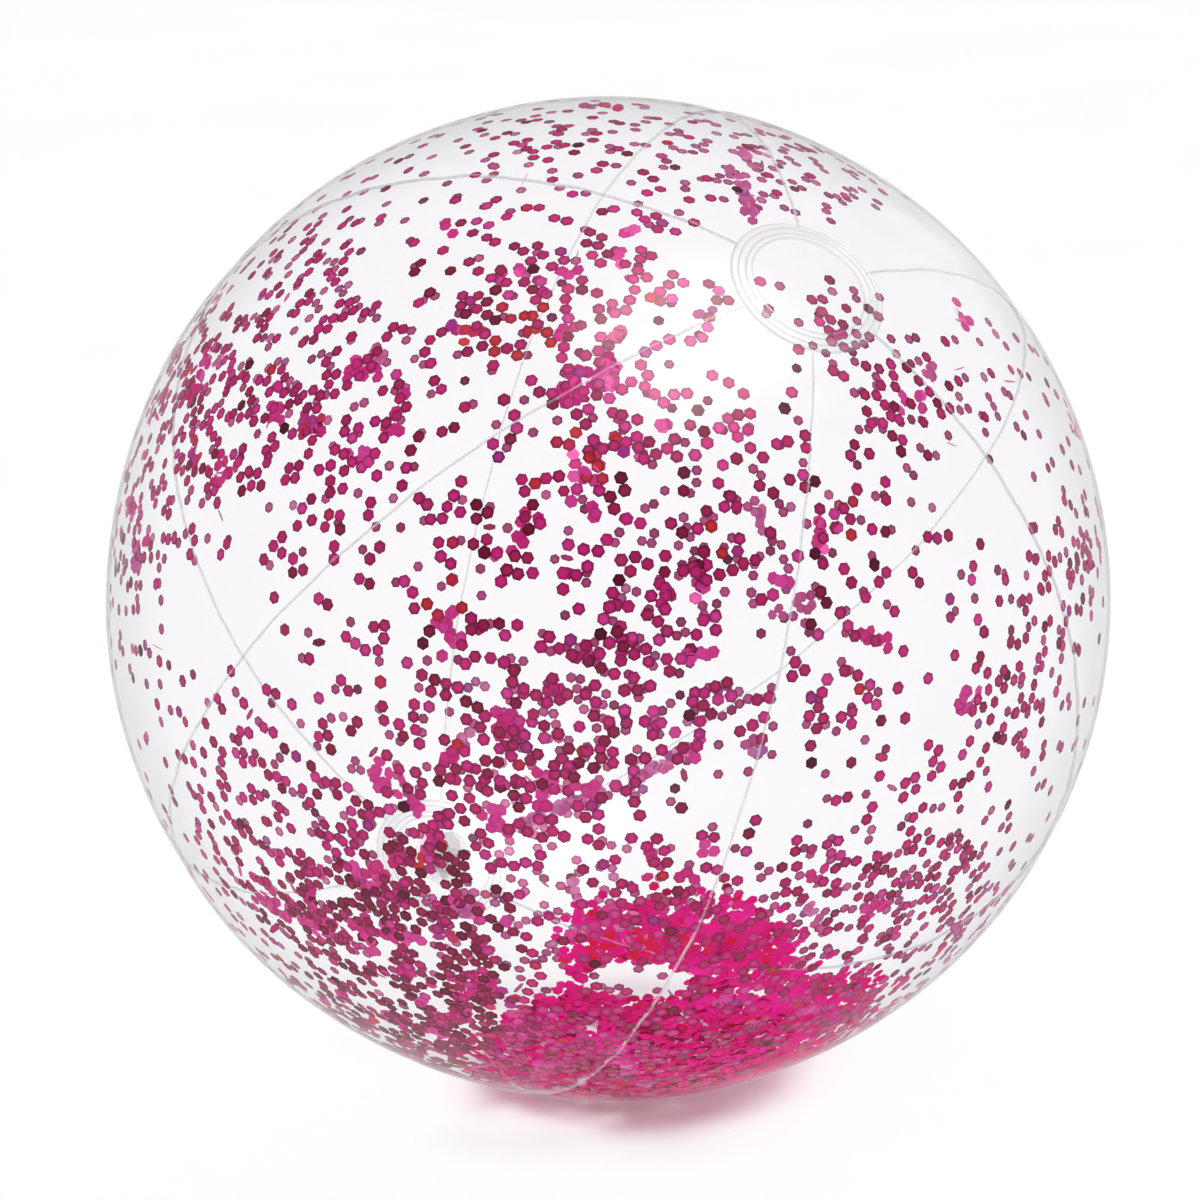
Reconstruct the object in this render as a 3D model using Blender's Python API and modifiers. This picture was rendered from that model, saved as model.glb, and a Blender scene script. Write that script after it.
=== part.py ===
"""Clear inflatable beach ball resting on its flattened contact patch.

Six welded gore panels with inward-turned weld fins, two round end discs with
embossed weld rings, a push-in inflation valve in the rear disc (weld flange with
collar, sliding stem, hinged check flap, stopper and its tether) and the foil
glitter inside, held here by thin cling layers and one loose heap.

Metres, +Z up. The origin is the centre of the contact patch on the ground.
"""

import math

import bmesh
import bpy
from mathutils import Matrix, Vector

# Ball
BALL_RADIUS = 0.225          # 28 in laid flat pole to pole, blown up
PANELS = 6
FILM = 0.00025               # clear vinyl film
GAP = 0.0003                 # clearance between pieces that touch
CONTACT_RADIUS = 0.028       # patch pressed flat on the ground by the weight
POLE_RISE = math.radians(48.0)     # front pole above the horizon, facing -Y
SEAM_PHASE = math.radians(37.6)    # first seam, turned about the pole axis
TRIM_RADIUS = 0.0250         # gore tips are cut off here, under the end discs
FIN_DEPTH = 0.0012           # weld fin, measured inwards from the film
FIRST_ROW = 15.0             # degrees from the pole to the first regular row
ROW_STEP = 7.5

# End discs
DISC_RADIUS = 0.0342
DISC_FILM = 0.0003
RING_RISE = 0.00025
RING_HALF_WIDTH = 0.0007
RING_RADII = (0.0277, 0.0309)
DISC_HOLE = 0.0070
TURN_STEPS = 32

# Valve, along its own axis; 0 is the ball's surface and + points outwards
FLANGE_RADIUS = 0.0140
FLANGE_THICK = 0.0006
COLLAR_OUTER = 0.0062
COLLAR_DEPTH = 0.0050
STEM_OUTER = 0.0049
STEM_BORE = 0.0033
STEM_TOP = 0.0019
STEM_FOOT = -0.0170
STEM_LIP_RADIUS = 0.0064
STEM_LIP = 0.0012
PLUG_SHANK = 0.0030
PLUG_LENGTH = 0.0075
PLUG_HEAD = 0.0054
PLUG_HEAD_THICK = 0.0016
TAB_REACH = 0.0090
TAB_WIDTH = 0.0050
TAB_THICK = 0.0009
STRAP_WIDTH = 0.0024
STRAP_THICK = 0.0007
STRAP_REACH = 0.0104
TIE_OUTER = 0.0067
FLAP_RADIUS = 0.0044
FLAP_THICK = 0.0006
FLAP_HINGE = 0.0056          # hinge line, out from the valve axis
FLAP_TAB_WIDTH = 0.0040

# Glitter
CLING_CLEAR = 0.0004         # from the film's inner face
CLING_THICK = 0.00005
CLING_FIRST = 30.0
CLING_LAST = 150.0
CLING_LAST_LOW = 105.0       # the panel under the heap is bare lower down
CLING_HALF_COLUMNS = 2
HEAP_CLEAR = 0.0026
HEAP_ANGLE = math.radians(28.0)
HEAP_THICK = 0.0010
HEAP_EDGE = 0.0003
HEAP_LEAN = (math.radians(-2.6), math.radians(4.0))

CENTRE_HEIGHT = math.sqrt(BALL_RADIUS**2 - CONTACT_RADIUS**2)
HALF_GORE = math.pi / PANELS
COLUMN_STEP = 7.5            # degrees of turn about the pole axis
FINE_ROWS = (127.5, 150.0)   # rows and columns are doubled here, round the contact patch
FINE_COLUMNS = (-22.5, 7.5)

for old in list(bpy.data.objects):
    bpy.data.objects.remove(old, do_unlink=True)

ball = bpy.data.collections.new("inflatable_beach_ball")
cutters = bpy.data.collections.new("cutters")
bpy.context.scene.collection.children.link(ball)
bpy.context.scene.collection.children.link(cutters)
cutters.hide_render = True


def material(name, colour, roughness, metallic=0.0, alpha=1.0, transmission=0.0):
    made = bpy.data.materials.new(name)
    made.use_nodes = True
    made.diffuse_color = (*colour, alpha)
    shader = made.node_tree.nodes["Principled BSDF"]
    shader.inputs["Base Color"].default_value = (*colour, 1.0)
    shader.inputs["Roughness"].default_value = roughness
    shader.inputs["Metallic"].default_value = metallic
    shader.inputs["Alpha"].default_value = alpha
    shader.inputs["Transmission Weight"].default_value = transmission
    shader.inputs["IOR"].default_value = 1.53
    return made


def empty(name, matrix):
    made = bpy.data.objects.new(name, None)
    made.empty_display_size = 0.03
    ball.objects.link(made)
    made.location = matrix.to_translation()
    made.rotation_euler = matrix.to_euler()
    return made


def add(name, mesh, look, parent, turn=0.0, place=(0.0, 0.0, 0.0)):
    made = bpy.data.objects.new(name, mesh)
    ball.objects.link(made)
    made.parent = parent
    made.rotation_euler = (0.0, 0.0, turn)
    made.location = place
    if look:
        mesh.materials.append(look)
    return made


def smooth(mesh, angle=35.0):
    mesh.shade_smooth()
    mesh.set_sharp_from_angle(angle=math.radians(angle))


def solid_skin(obj, thickness):
    """Gives an open surface its thickness, grown inwards from its front."""
    skin = obj.modifiers.new("Film", "SOLIDIFY")
    skin.thickness = thickness
    skin.offset = -1.0
    skin.use_even_offset = True
    skin.use_quality_normals = True
    return skin


# Ball frame: +Z is the front pole, +X is the tangent there that climbs to the top.
sin_rise, cos_rise = math.sin(POLE_RISE), math.cos(POLE_RISE)
pole = Vector((0.0, -cos_rise, sin_rise))
climb = Vector((0.0, sin_rise, cos_rise))
side = pole.cross(climb)
ball_turn = Matrix((climb, side, pole)).transposed().to_4x4()
ball_matrix = Matrix.Translation((0.0, 0.0, CENTRE_HEIGHT)) @ ball_turn
ball_axis = empty("ball_axis", ball_matrix)

# Valve frame: origin on the rear pole, +Z out of the ball.
valve_matrix = ball_matrix @ Matrix.Translation((0.0, 0.0, -BALL_RADIUS)) @ Matrix.Rotation(math.pi, 4, "X")
valve_axis = empty("valve_axis", valve_matrix)

film_looks = material("clear_film", (0.94, 0.95, 0.96), 0.06, alpha=0.22, transmission=0.0)
disc_looks = material("clear_disc_film", (0.92, 0.93, 0.94), 0.10, alpha=0.32)
flange_looks = material("clear_valve_flange", (0.90, 0.91, 0.92), 0.22, alpha=0.60)
stem_looks = material("soft_valve_stem", (0.88, 0.89, 0.90), 0.30, alpha=0.75)
flap_looks = material("check_flap_vinyl", (0.86, 0.87, 0.88), 0.35, alpha=0.80)
plug_looks = material("stopper_vinyl", (0.90, 0.91, 0.92), 0.28, alpha=0.85)
strap_looks = material("tether_vinyl", (0.89, 0.90, 0.91), 0.30, alpha=0.80)
cling_looks = material("cling_glitter_foil", (0.72, 0.04, 0.28), 0.25, metallic=0.85)
heap_looks = material("loose_glitter_foil", (0.78, 0.03, 0.30), 0.28, metallic=0.80)


def on_sphere(radius, polar, turn):
    return Vector((
        radius * math.sin(polar) * math.cos(turn),
        radius * math.sin(polar) * math.sin(turn),
        radius * math.cos(polar),
    ))


def gore_rows():
    """Polar angles of the rows of one gore, from trim to trim."""
    trim = math.degrees(math.asin(TRIM_RADIUS / BALL_RADIUS))
    count = int(round((180.0 - 2 * FIRST_ROW) / ROW_STEP))
    rows = [trim, 0.5 * (trim + FIRST_ROW) - 1.0]
    rows += [FIRST_ROW + ROW_STEP * i for i in range(count + 1)]
    rows += [180.0 - rows[1], 180.0 - rows[0]]
    return [math.radians(row) for row in rows]


def gore_columns():
    """Angles of the columns between the two edges of one gore."""
    half = int(round(math.degrees(HALF_GORE) / COLUMN_STEP))
    return [math.radians(COLUMN_STEP * i) for i in range(1 - half, half)]


def doubled(lines, span):
    """The same grid lines, with one more halfway between each two that lie in the span, in degrees."""
    low, high = (math.radians(limit) for limit in span)
    between = [
        0.5 * (a + b) for a, b in zip(lines, lines[1:])
        if a > low - 1e-4 and b < high + 1e-4
    ]
    return sorted(lines + between)


def grid_indices(bm, x_cells, y_cells):
    """Each vertex of a 2 by 2 grid with its column and row number."""
    for vert in bm.verts:
        yield vert, round((vert.co.x + 1) / 2 * x_cells), round((vert.co.y + 1) / 2 * y_cells)


def face_outwards(bm):
    middle = max(bm.faces, key=lambda face: face.calc_center_median().length)
    if middle.normal.dot(middle.calc_center_median()) < 0:
        bmesh.ops.reverse_faces(bm, faces=bm.faces)


def edge_turn(polar, radius):
    """Half width of a gore there, so that its edge stays half a gap from the seam plane."""
    return HALF_GORE - math.asin(GAP / 2 / (radius * math.sin(polar)))


def gore(name, centre, flat_on_ground):
    """One panel: a band of the sphere from trim to trim, with a weld fin turned in along each long edge."""
    rows, columns = gore_rows(), gore_columns()
    if flat_on_ground:
        rows, columns = doubled(rows, FINE_ROWS), doubled(columns, FINE_COLUMNS)
    x_cells, y_cells = len(columns) + 3, len(rows) - 1
    fin_radius = BALL_RADIUS - FILM - FIN_DEPTH
    bm = bmesh.new()
    bmesh.ops.create_grid(bm, x_segments=x_cells, y_segments=y_cells, size=1.0)
    for vert, column, row in list(grid_indices(bm, x_cells, y_cells)):
        radius = fin_radius if column in (0, x_cells) else BALL_RADIUS
        if column < 2:
            turn = -edge_turn(rows[row], radius)
        elif column > x_cells - 2:
            turn = edge_turn(rows[row], radius)
        else:
            turn = columns[column - 2]
        vert.co = on_sphere(radius, rows[row], turn)
    bm.normal_update()
    face_outwards(bm)
    if flat_on_ground:
        to_panel = (ball_matrix @ Matrix.Rotation(centre, 4, "Z")).inverted()
        ground = to_panel @ Vector((0.0, 0.0, 0.0))
        down = (to_panel.to_3x3() @ Vector((0.0, 0.0, -1.0))).normalized()
        bmesh.ops.bisect_plane(
            bm,
            geom=bm.verts[:] + bm.edges[:] + bm.faces[:],
            dist=1e-7,
            plane_co=ground,
            plane_no=down,
            clear_outer=True,
        )
        rim = [
            edge for edge in bm.edges
            if edge.is_boundary and all(abs((v.co - ground).dot(down)) < 1e-6 for v in edge.verts)
        ]
        patch = bmesh.ops.edgeloop_fill(bm, edges=rim)["faces"]
        for face in patch:
            if face.normal.dot(down) < 0:
                face.normal_flip()
    mesh = bpy.data.meshes.new(name)
    bm.to_mesh(mesh)
    bm.free()
    smooth(mesh)
    panel = add(name, mesh, film_looks, ball_axis, turn=centre)
    solid_skin(panel, FILM)
    return panel


def cling_layer(name, centre, last_row):
    """Thin sheet of flakes clinging behind the middle of one panel, on the same rows and columns as the panel."""
    rows = [row for row in gore_rows() if math.radians(CLING_FIRST - 0.01) < row < math.radians(last_row + 0.01)]
    x_cells, y_cells = 2 * CLING_HALF_COLUMNS, len(rows) - 1
    bm = bmesh.new()
    bmesh.ops.create_grid(bm, x_segments=x_cells, y_segments=y_cells, size=1.0)
    for vert, column, row in list(grid_indices(bm, x_cells, y_cells)):
        turn = math.radians(COLUMN_STEP * (column - CLING_HALF_COLUMNS))
        vert.co = on_sphere(BALL_RADIUS - FILM - CLING_CLEAR, rows[row], turn)
    bm.normal_update()
    face_outwards(bm)
    mesh = bpy.data.meshes.new(name)
    bm.to_mesh(mesh)
    bm.free()
    smooth(mesh)
    layer = add(name, mesh, cling_looks, ball_axis, turn=centre)
    solid_skin(layer, CLING_THICK)
    return layer


def turned(name, profile, look, parent, closed, steps=TURN_STEPS, collection=None):
    """Turns a profile at +X about Z. An open profile starts and ends on the axis."""
    mesh = bpy.data.meshes.new(name)
    count = len(profile)
    links = [(i, i + 1) for i in range(count - 1)]
    if closed:
        links.append((count - 1, 0))
    mesh.from_pydata([(x, 0.0, z) for x, z in profile], links, [])
    made = add(name, mesh, look, parent)
    if collection:
        ball.objects.unlink(made)
        collection.objects.link(made)
    screw = made.modifiers.new("Turn", "SCREW")
    screw.axis = "Z"
    screw.angle = math.tau
    screw.screw_offset = 0.0
    screw.steps = screw.render_steps = steps
    screw.use_merge_vertices = True
    screw.merge_threshold = 1e-6
    screw.use_smooth_shade = True
    return made


def baked(obj):
    """The mesh an object shows, as a mesh of its own with the modifiers used up."""
    bpy.context.view_layer.update()
    graph = bpy.context.evaluated_depsgraph_get()
    mesh = bpy.data.meshes.new_from_object(obj.evaluated_get(graph))
    obj.modifiers.clear()
    obj.data = mesh
    return obj


def union(obj, tool):
    """Joins a helper to an object, so that the two are one body."""
    if tool.name in ball.objects:
        ball.objects.unlink(tool)
    if tool.name not in cutters.objects:
        cutters.objects.link(tool)
    tool.hide_render = True
    tool.display_type = "WIRE"
    join = obj.modifiers.new("Join", "BOOLEAN")
    join.operation = "UNION"
    join.solver = "EXACT"
    join.object = tool


def dome(radius, reach):
    """Points of a spherical skin of that radius at these distances from the axis, counted from the ball's surface."""
    return [(rho, math.sqrt(radius**2 - rho**2) - BALL_RADIUS) for rho in reach]


def disc_profile(hole):
    """Cross-section of an end disc, with two embossed weld rings near its rim."""
    under = BALL_RADIUS + GAP
    over = under + DISC_FILM
    top = dome(over, (hole,)) + dome(over, (hole + 0.4 * (RING_RADII[0] - hole),))
    for ring in RING_RADII:
        top += dome(over, (ring - RING_HALF_WIDTH,))
        top += dome(over + RING_RISE, (ring,))
        top += dome(over, (ring + RING_HALF_WIDTH,))
    top += dome(over, (DISC_RADIUS - 0.0002,))
    rim = dome(over - 0.0001, (DISC_RADIUS,)) + dome(under + 0.0001, (DISC_RADIUS,))
    below = dome(under, (DISC_RADIUS - 0.0002, 0.6 * DISC_RADIUS, hole + 0.3 * DISC_RADIUS, hole))
    return top + rim + below


# Panels and the flakes clinging behind them
for index in range(PANELS):
    middle = SEAM_PHASE - HALF_GORE + index * 2 * HALF_GORE
    low = index == PANELS // 2
    gore(f"panel_{index + 1}", middle, low)
    cling_layer(f"glitter_cling_{index + 1}", middle, CLING_LAST_LOW if low else CLING_LAST)

# End discs: the plain one at the front pole, the one with the valve hole at the rear
front = turned("front_disc", disc_profile(0.0), disc_looks, ball_axis, closed=False)
front.location = (0.0, 0.0, BALL_RADIUS)
rear = turned("rear_disc", disc_profile(DISC_HOLE), disc_looks, valve_axis, closed=True)


# Valve flange, welded under the rear disc, with the collar that the stem slides in
def sag(rho):
    return rho**2 / (2 * BALL_RADIUS)


collar_inner = STEM_OUTER + GAP
flange_profile = [
    (collar_inner, 0.0),
    (0.5 * (collar_inner + FLANGE_RADIUS), -sag(0.5 * (collar_inner + FLANGE_RADIUS))),
    (FLANGE_RADIUS - 0.0002, -sag(FLANGE_RADIUS)),
    (FLANGE_RADIUS, -sag(FLANGE_RADIUS) - 0.0002),
    (FLANGE_RADIUS, -sag(FLANGE_RADIUS) - FLANGE_THICK + 0.0002),
    (FLANGE_RADIUS - 0.0002, -sag(FLANGE_RADIUS) - FLANGE_THICK),
    (COLLAR_OUTER + 0.0008, -sag(COLLAR_OUTER) - FLANGE_THICK),
    (COLLAR_OUTER + 0.0002, -sag(COLLAR_OUTER) - FLANGE_THICK - 0.0003),
    (COLLAR_OUTER, -sag(COLLAR_OUTER) - FLANGE_THICK - 0.0009),
    (COLLAR_OUTER, -COLLAR_DEPTH + 0.0002),
    (COLLAR_OUTER - 0.0002, -COLLAR_DEPTH),
    (collar_inner, -COLLAR_DEPTH),
]
turned("valve_flange", flange_profile, flange_looks, valve_axis, closed=True)

# Stem: an open tube with a foot lip that stops against the collar when it is pulled out
stem_profile = [
    (STEM_BORE, STEM_TOP - 0.0002),
    (STEM_BORE + 0.0002, STEM_TOP),
    (STEM_OUTER - 0.0003, STEM_TOP),
    (STEM_OUTER, STEM_TOP - 0.0003),
    (STEM_OUTER, STEM_FOOT + STEM_LIP + 0.0004),
    (STEM_OUTER + 0.0004, STEM_FOOT + STEM_LIP),
    (STEM_LIP_RADIUS - 0.0002, STEM_FOOT + STEM_LIP),
    (STEM_LIP_RADIUS, STEM_FOOT + STEM_LIP - 0.0002),
    (STEM_LIP_RADIUS, STEM_FOOT + 0.0002),
    (STEM_LIP_RADIUS - 0.0002, STEM_FOOT),
    (STEM_BORE, STEM_FOOT),
]
turned("valve_stem", stem_profile, stem_looks, valve_axis, closed=True)

# Stopper: shank in the bore, domed head over the stem's rim, pull tab on one side
head_low = STEM_TOP + GAP
head_high = head_low + PLUG_HEAD_THICK
plug_profile = [
    (0.0, head_high),
    (0.5 * PLUG_HEAD, head_high - 0.0001),
    (0.85 * PLUG_HEAD, head_high - 0.0004),
    (PLUG_HEAD, head_high - 0.0009),
    (PLUG_HEAD, head_low + 0.0002),
    (PLUG_HEAD - 0.0002, head_low),
    (PLUG_SHANK, head_low),
    (PLUG_SHANK, head_high - PLUG_LENGTH + 0.0006),
    (PLUG_SHANK - 0.0005, head_high - PLUG_LENGTH),
    (0.0, head_high - PLUG_LENGTH),
]
plug = baked(turned("valve_plug", plug_profile, plug_looks, valve_axis, closed=False))
tab_level = head_low + 0.5 * TAB_THICK
bm = bmesh.new()
bmesh.ops.create_cone(
    bm, cap_ends=True, segments=20, radius1=TAB_WIDTH / 2, radius2=TAB_WIDTH / 2, depth=TAB_THICK,
    matrix=Matrix.Translation((-(TAB_REACH - TAB_WIDTH / 2), 0.0, tab_level)),
)
for vert in bm.verts:
    if vert.co.x > -(TAB_REACH - TAB_WIDTH / 2) + 1e-7:
        vert.co.x = -0.0012
        vert.co.y = math.copysign(TAB_WIDTH / 2, vert.co.y)
bmesh.ops.remove_doubles(bm, verts=bm.verts, dist=1e-6)
bmesh.ops.recalc_face_normals(bm, faces=bm.faces)
tab_mesh = bpy.data.meshes.new("pull_tab_tool")
bm.to_mesh(tab_mesh)
bm.free()
union(plug, add("pull_tab_tool", tab_mesh, plug_looks, valve_axis))

# Tether: a tie ring round the stem's neck, and a folded strap that comes back level with the stopper's head
tie_low = 0.0009
tie_high = tie_low + STRAP_THICK
tie_profile = [
    (collar_inner, tie_high),
    (TIE_OUTER, tie_high),
    (TIE_OUTER, tie_low),
    (collar_inner, tie_low),
]
tether = baked(turned("plug_tether", tie_profile, strap_looks, valve_axis, closed=True))
leg_low = 0.5 * (tie_low + tie_high)
bend = 0.00085
leg_high = leg_low + 2 * bend
path = [(TIE_OUTER - 0.0008, leg_low), (STRAP_REACH - bend, leg_low)]
path += [
    (STRAP_REACH - bend + bend * math.sin(a), leg_low + bend - bend * math.cos(a))
    for a in (math.pi * i / 6 for i in range(1, 6))
]
path += [(STRAP_REACH - bend, leg_high), (PLUG_HEAD + GAP, leg_high)]
bm = bmesh.new()
bmesh.ops.create_grid(bm, x_segments=len(path) - 1, y_segments=1, size=1.0)
for vert, column, row in list(grid_indices(bm, len(path) - 1, 1)):
    vert.co = Vector((path[column][0], (row - 0.5) * STRAP_WIDTH, path[column][1]))
bm.normal_update()
strap_mesh = bpy.data.meshes.new("strap_tool")
bm.to_mesh(strap_mesh)
bm.free()
strap = add("strap_tool", strap_mesh, strap_looks, valve_axis)
skin = solid_skin(strap, STRAP_THICK)
skin.offset = 0.0
baked(strap)
union(tether, strap)

# Check flap: a disc over the stem's inner end, on a living hinge at one side
flap_level = STEM_FOOT - GAP - 0.5 * FLAP_THICK
bm = bmesh.new()
bmesh.ops.create_cone(
    bm, cap_ends=True, segments=28, radius1=FLAP_RADIUS, radius2=FLAP_RADIUS, depth=FLAP_THICK,
    matrix=Matrix.Translation((-FLAP_HINGE, 0.0, 0.0)),
)
for vert in bm.verts:
    if vert.co.x > -FLAP_HINGE + 0.88 * FLAP_RADIUS:
        vert.co.x = 0.0003
        vert.co.y = math.copysign(FLAP_TAB_WIDTH / 2, vert.co.y) if abs(vert.co.y) > 1e-6 else 0.0
bmesh.ops.recalc_face_normals(bm, faces=bm.faces)
flap_mesh = bpy.data.meshes.new("check_flap")
bm.to_mesh(flap_mesh)
bm.free()
smooth(flap_mesh)
flap = add("check_flap", flap_mesh, flap_looks, valve_axis, place=(FLAP_HINGE, 0.0, flap_level))

# Loose heap: a shallow lens of flakes lying on the lowest part of the inner wall
heap_radius = BALL_RADIUS - HEAP_CLEAR
cells = 6
upper = []
for i in range(cells + 1):
    a = HEAP_ANGLE * i / cells
    thick = HEAP_EDGE + HEAP_THICK * (1.0 - (i / cells) ** 2)
    upper.append(((heap_radius - thick) * math.sin(a), -(heap_radius - thick) * math.cos(a)))
lower = [
    (heap_radius * math.sin(HEAP_ANGLE * i / cells), -heap_radius * math.cos(HEAP_ANGLE * i / cells))
    for i in range(cells, -1, -1)
]
heap = turned("glitter_heap", upper + lower, heap_looks, None, closed=False, steps=24)
heap.location = (0.0, 0.0, CENTRE_HEIGHT)
heap.rotation_euler = (HEAP_LEAN[0], HEAP_LEAN[1], 0.0)
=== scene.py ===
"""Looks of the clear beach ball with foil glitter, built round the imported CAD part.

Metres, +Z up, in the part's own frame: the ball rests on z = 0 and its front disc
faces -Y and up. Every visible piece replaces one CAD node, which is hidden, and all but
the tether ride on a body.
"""

import math
import random

import bpy
import numpy as np
from mathutils import Matrix, Vector, noise


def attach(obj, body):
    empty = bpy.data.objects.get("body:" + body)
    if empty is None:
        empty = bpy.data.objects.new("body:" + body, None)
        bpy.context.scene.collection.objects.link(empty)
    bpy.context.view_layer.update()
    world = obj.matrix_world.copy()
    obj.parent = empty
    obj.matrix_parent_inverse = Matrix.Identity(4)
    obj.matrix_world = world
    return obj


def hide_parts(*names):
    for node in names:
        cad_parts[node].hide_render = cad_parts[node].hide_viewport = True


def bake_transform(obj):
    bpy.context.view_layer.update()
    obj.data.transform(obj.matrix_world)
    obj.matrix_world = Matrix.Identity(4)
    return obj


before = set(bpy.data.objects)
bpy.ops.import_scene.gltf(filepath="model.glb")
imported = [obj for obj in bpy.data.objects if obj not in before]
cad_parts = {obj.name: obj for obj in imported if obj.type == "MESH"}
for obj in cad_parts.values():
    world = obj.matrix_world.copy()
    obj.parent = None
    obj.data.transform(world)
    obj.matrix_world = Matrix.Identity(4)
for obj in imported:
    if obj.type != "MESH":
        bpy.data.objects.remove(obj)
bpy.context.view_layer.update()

# The ball, as in the part
R = 0.225
PANELS = 6
FILM = 0.00025
CONTACT = 0.028
RISE = math.radians(48.0)
SEAM_PHASE = math.radians(37.6)
HALF = math.pi / PANELS
TRIM = 0.0250
CENTRE = math.sqrt(R * R - CONTACT * CONTACT)
DISC = 0.0342
HOLE = 0.0070

C = np.array((0.0, 0.0, CENTRE))
POLE = np.array((0.0, -math.cos(RISE), math.sin(RISE)))
CLIMB = np.array((0.0, math.sin(RISE), math.cos(RISE)))
SIDE = np.cross(POLE, CLIMB)

# Film relief
VALLEY = 0.0009              # depth of the crease along a seam
VALLEY_WIDTH = 0.0050
PUCKER = 0.00022             # ripples across a seam
PUCKER_WIDTH = 0.0100
WIGGLE = 0.00035             # how far a seam wanders from its plane
WELD = 0.00045               # weld band, on each side of the seam
FIN = 0.0012
SEAM_GAP = 0.00003

# The view the ball is shown from
AZIMUTH, ELEVATION = math.radians(-33.0), math.radians(15.0)
DISTANCE = 1.8
LENS = 119.8
BACK = np.array((
    math.sin(AZIMUTH) * math.cos(ELEVATION),
    -math.cos(AZIMUTH) * math.cos(ELEVATION),
    math.sin(ELEVATION),
))
RIGHT = np.array((math.cos(AZIMUTH), math.sin(AZIMUTH), 0.0))
UP = np.cross(BACK, RIGHT)

# Foil flakes
FLAKE = 0.00568              # across corners
FLATS = FLAKE * math.sqrt(3) / 2
FLAKE_THICK = 0.00008
FLAKE_AREA = 1.5 * math.sqrt(3) * (FLAKE / 2) ** 2


# ---------------------------------------------------------------- materials

class Nodes:
    """A node tree with short calls for the few nodes used here."""

    def __init__(self, name):
        self.mat = bpy.data.materials.new(name)
        self.mat.use_nodes = True
        self.tree = self.mat.node_tree
        self.tree.nodes.clear()
        self.out = self.tree.nodes.new("ShaderNodeOutputMaterial")

    def add(self, kind, **values):
        made = self.tree.nodes.new(kind)
        for key, value in values.items():
            if hasattr(made, key):
                setattr(made, key, value)
            else:
                made.inputs[key.replace("_", " ")].default_value = value
        return made

    def link(self, a, b):
        self.tree.links.new(a, b)

    def math(self, operation, a, b=None, clamp=False):
        made = self.tree.nodes.new("ShaderNodeMath")
        made.operation = operation
        made.use_clamp = clamp
        for slot, value in enumerate((a, b)):
            if value is None:
                continue
            if isinstance(value, (int, float)):
                made.inputs[slot].default_value = value
            else:
                self.link(value, made.inputs[slot])
        return made.outputs[0]

    def ramp(self, source, stops, mode="LINEAR"):
        made = self.tree.nodes.new("ShaderNodeValToRGB")
        made.color_ramp.interpolation = mode
        points = made.color_ramp.elements
        while len(points) < len(stops):
            points.new(0.5)
        for point, (place, colour) in zip(points, stops):
            point.position = place
            if isinstance(colour, (int, float)):
                colour = (colour, colour, colour)
            point.color = (*colour, 1.0)
        self.link(source, made.inputs[0])
        return made.outputs[0]

    def place(self, scale=1.0):
        coord = self.tree.nodes.new("ShaderNodeTexCoord")
        mapping = self.tree.nodes.new("ShaderNodeMapping")
        mapping.inputs["Scale"].default_value = (scale, scale, scale)
        self.link(coord.outputs["Object"], mapping.inputs["Vector"])
        return mapping.outputs[0]

    def noise(self, scale, detail=3.0, roughness=0.5):
        made = self.tree.nodes.new("ShaderNodeTexNoise")
        made.inputs["Scale"].default_value = scale
        made.inputs["Detail"].default_value = detail
        made.inputs["Roughness"].default_value = roughness
        self.link(self.place(), made.inputs["Vector"])
        return made.outputs["Fac"]

    def bump(self, height, strength, distance):
        made = self.tree.nodes.new("ShaderNodeBump")
        made.inputs["Strength"].default_value = strength
        made.inputs["Distance"].default_value = distance
        self.link(height, made.inputs["Height"])
        return made.outputs["Normal"]

    def finish(self, shader):
        self.link(shader, self.out.inputs["Surface"])
        return self.mat


def film_material(name, head_on, tint, rough, haze=0.0):
    """Clear film: light passes through, and each face that is met from its front reflects as much as a sheet of vinyl does."""
    n = Nodes(name)
    weight = n.add("ShaderNodeLayerWeight", Blend=0.5)
    facing = weight.outputs["Facing"]
    schlick = n.math("POWER", facing, 10.0)
    schlick = n.math("MULTIPLY", schlick, 1.0 - head_on)
    schlick = n.math("ADD", schlick, head_on)
    back = n.tree.nodes.new("ShaderNodeNewGeometry").outputs["Backfacing"]
    front = n.math("SUBTRACT", 1.0, back)
    mirror = n.math("MULTIPLY", schlick, front, clamp=True)
    clear = n.add("ShaderNodeBsdfTransparent")
    shade = n.ramp(facing, [(0.0, tint[0]), (0.55, tint[1]), (0.86, tint[2]), (1.0, tint[3])])
    n.link(shade, clear.inputs["Color"])
    gloss = n.add("ShaderNodeBsdfGlossy")
    streaks = n.noise(9.0, 4.0, 0.55)
    n.link(n.ramp(streaks, [(0.3, rough[0]), (0.7, rough[1])]), gloss.inputs["Roughness"])
    gloss.inputs["Color"].default_value = (1.0, 1.0, 1.0, 1.0)
    ripple = n.noise(38.0, 2.0, 0.5)
    n.link(n.bump(ripple, 0.35, 0.0006), gloss.inputs["Normal"])
    mix = n.add("ShaderNodeMixShader")
    n.link(mirror, mix.inputs[0])
    n.link(clear.outputs[0], mix.inputs[1])
    n.link(gloss.outputs[0], mix.inputs[2])
    if not haze:
        return n.finish(mix.outputs[0])
    milk = n.add("ShaderNodeBsdfPrincipled", Roughness=0.4)
    cloud = n.noise(140.0, 3.0, 0.6)
    n.link(n.ramp(cloud, [(0.2, (0.76, 0.77, 0.79)), (0.8, (0.90, 0.90, 0.91))]), milk.inputs["Base Color"])
    amount = n.math("MULTIPLY", n.ramp(cloud, [(0.25, 0.6), (0.75, 1.0)]), haze)
    both = n.add("ShaderNodeMixShader")
    n.link(amount, both.inputs[0])
    n.link(mix.outputs[0], both.inputs[1])
    n.link(milk.outputs[0], both.inputs[2])
    return n.finish(both.outputs[0])


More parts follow.
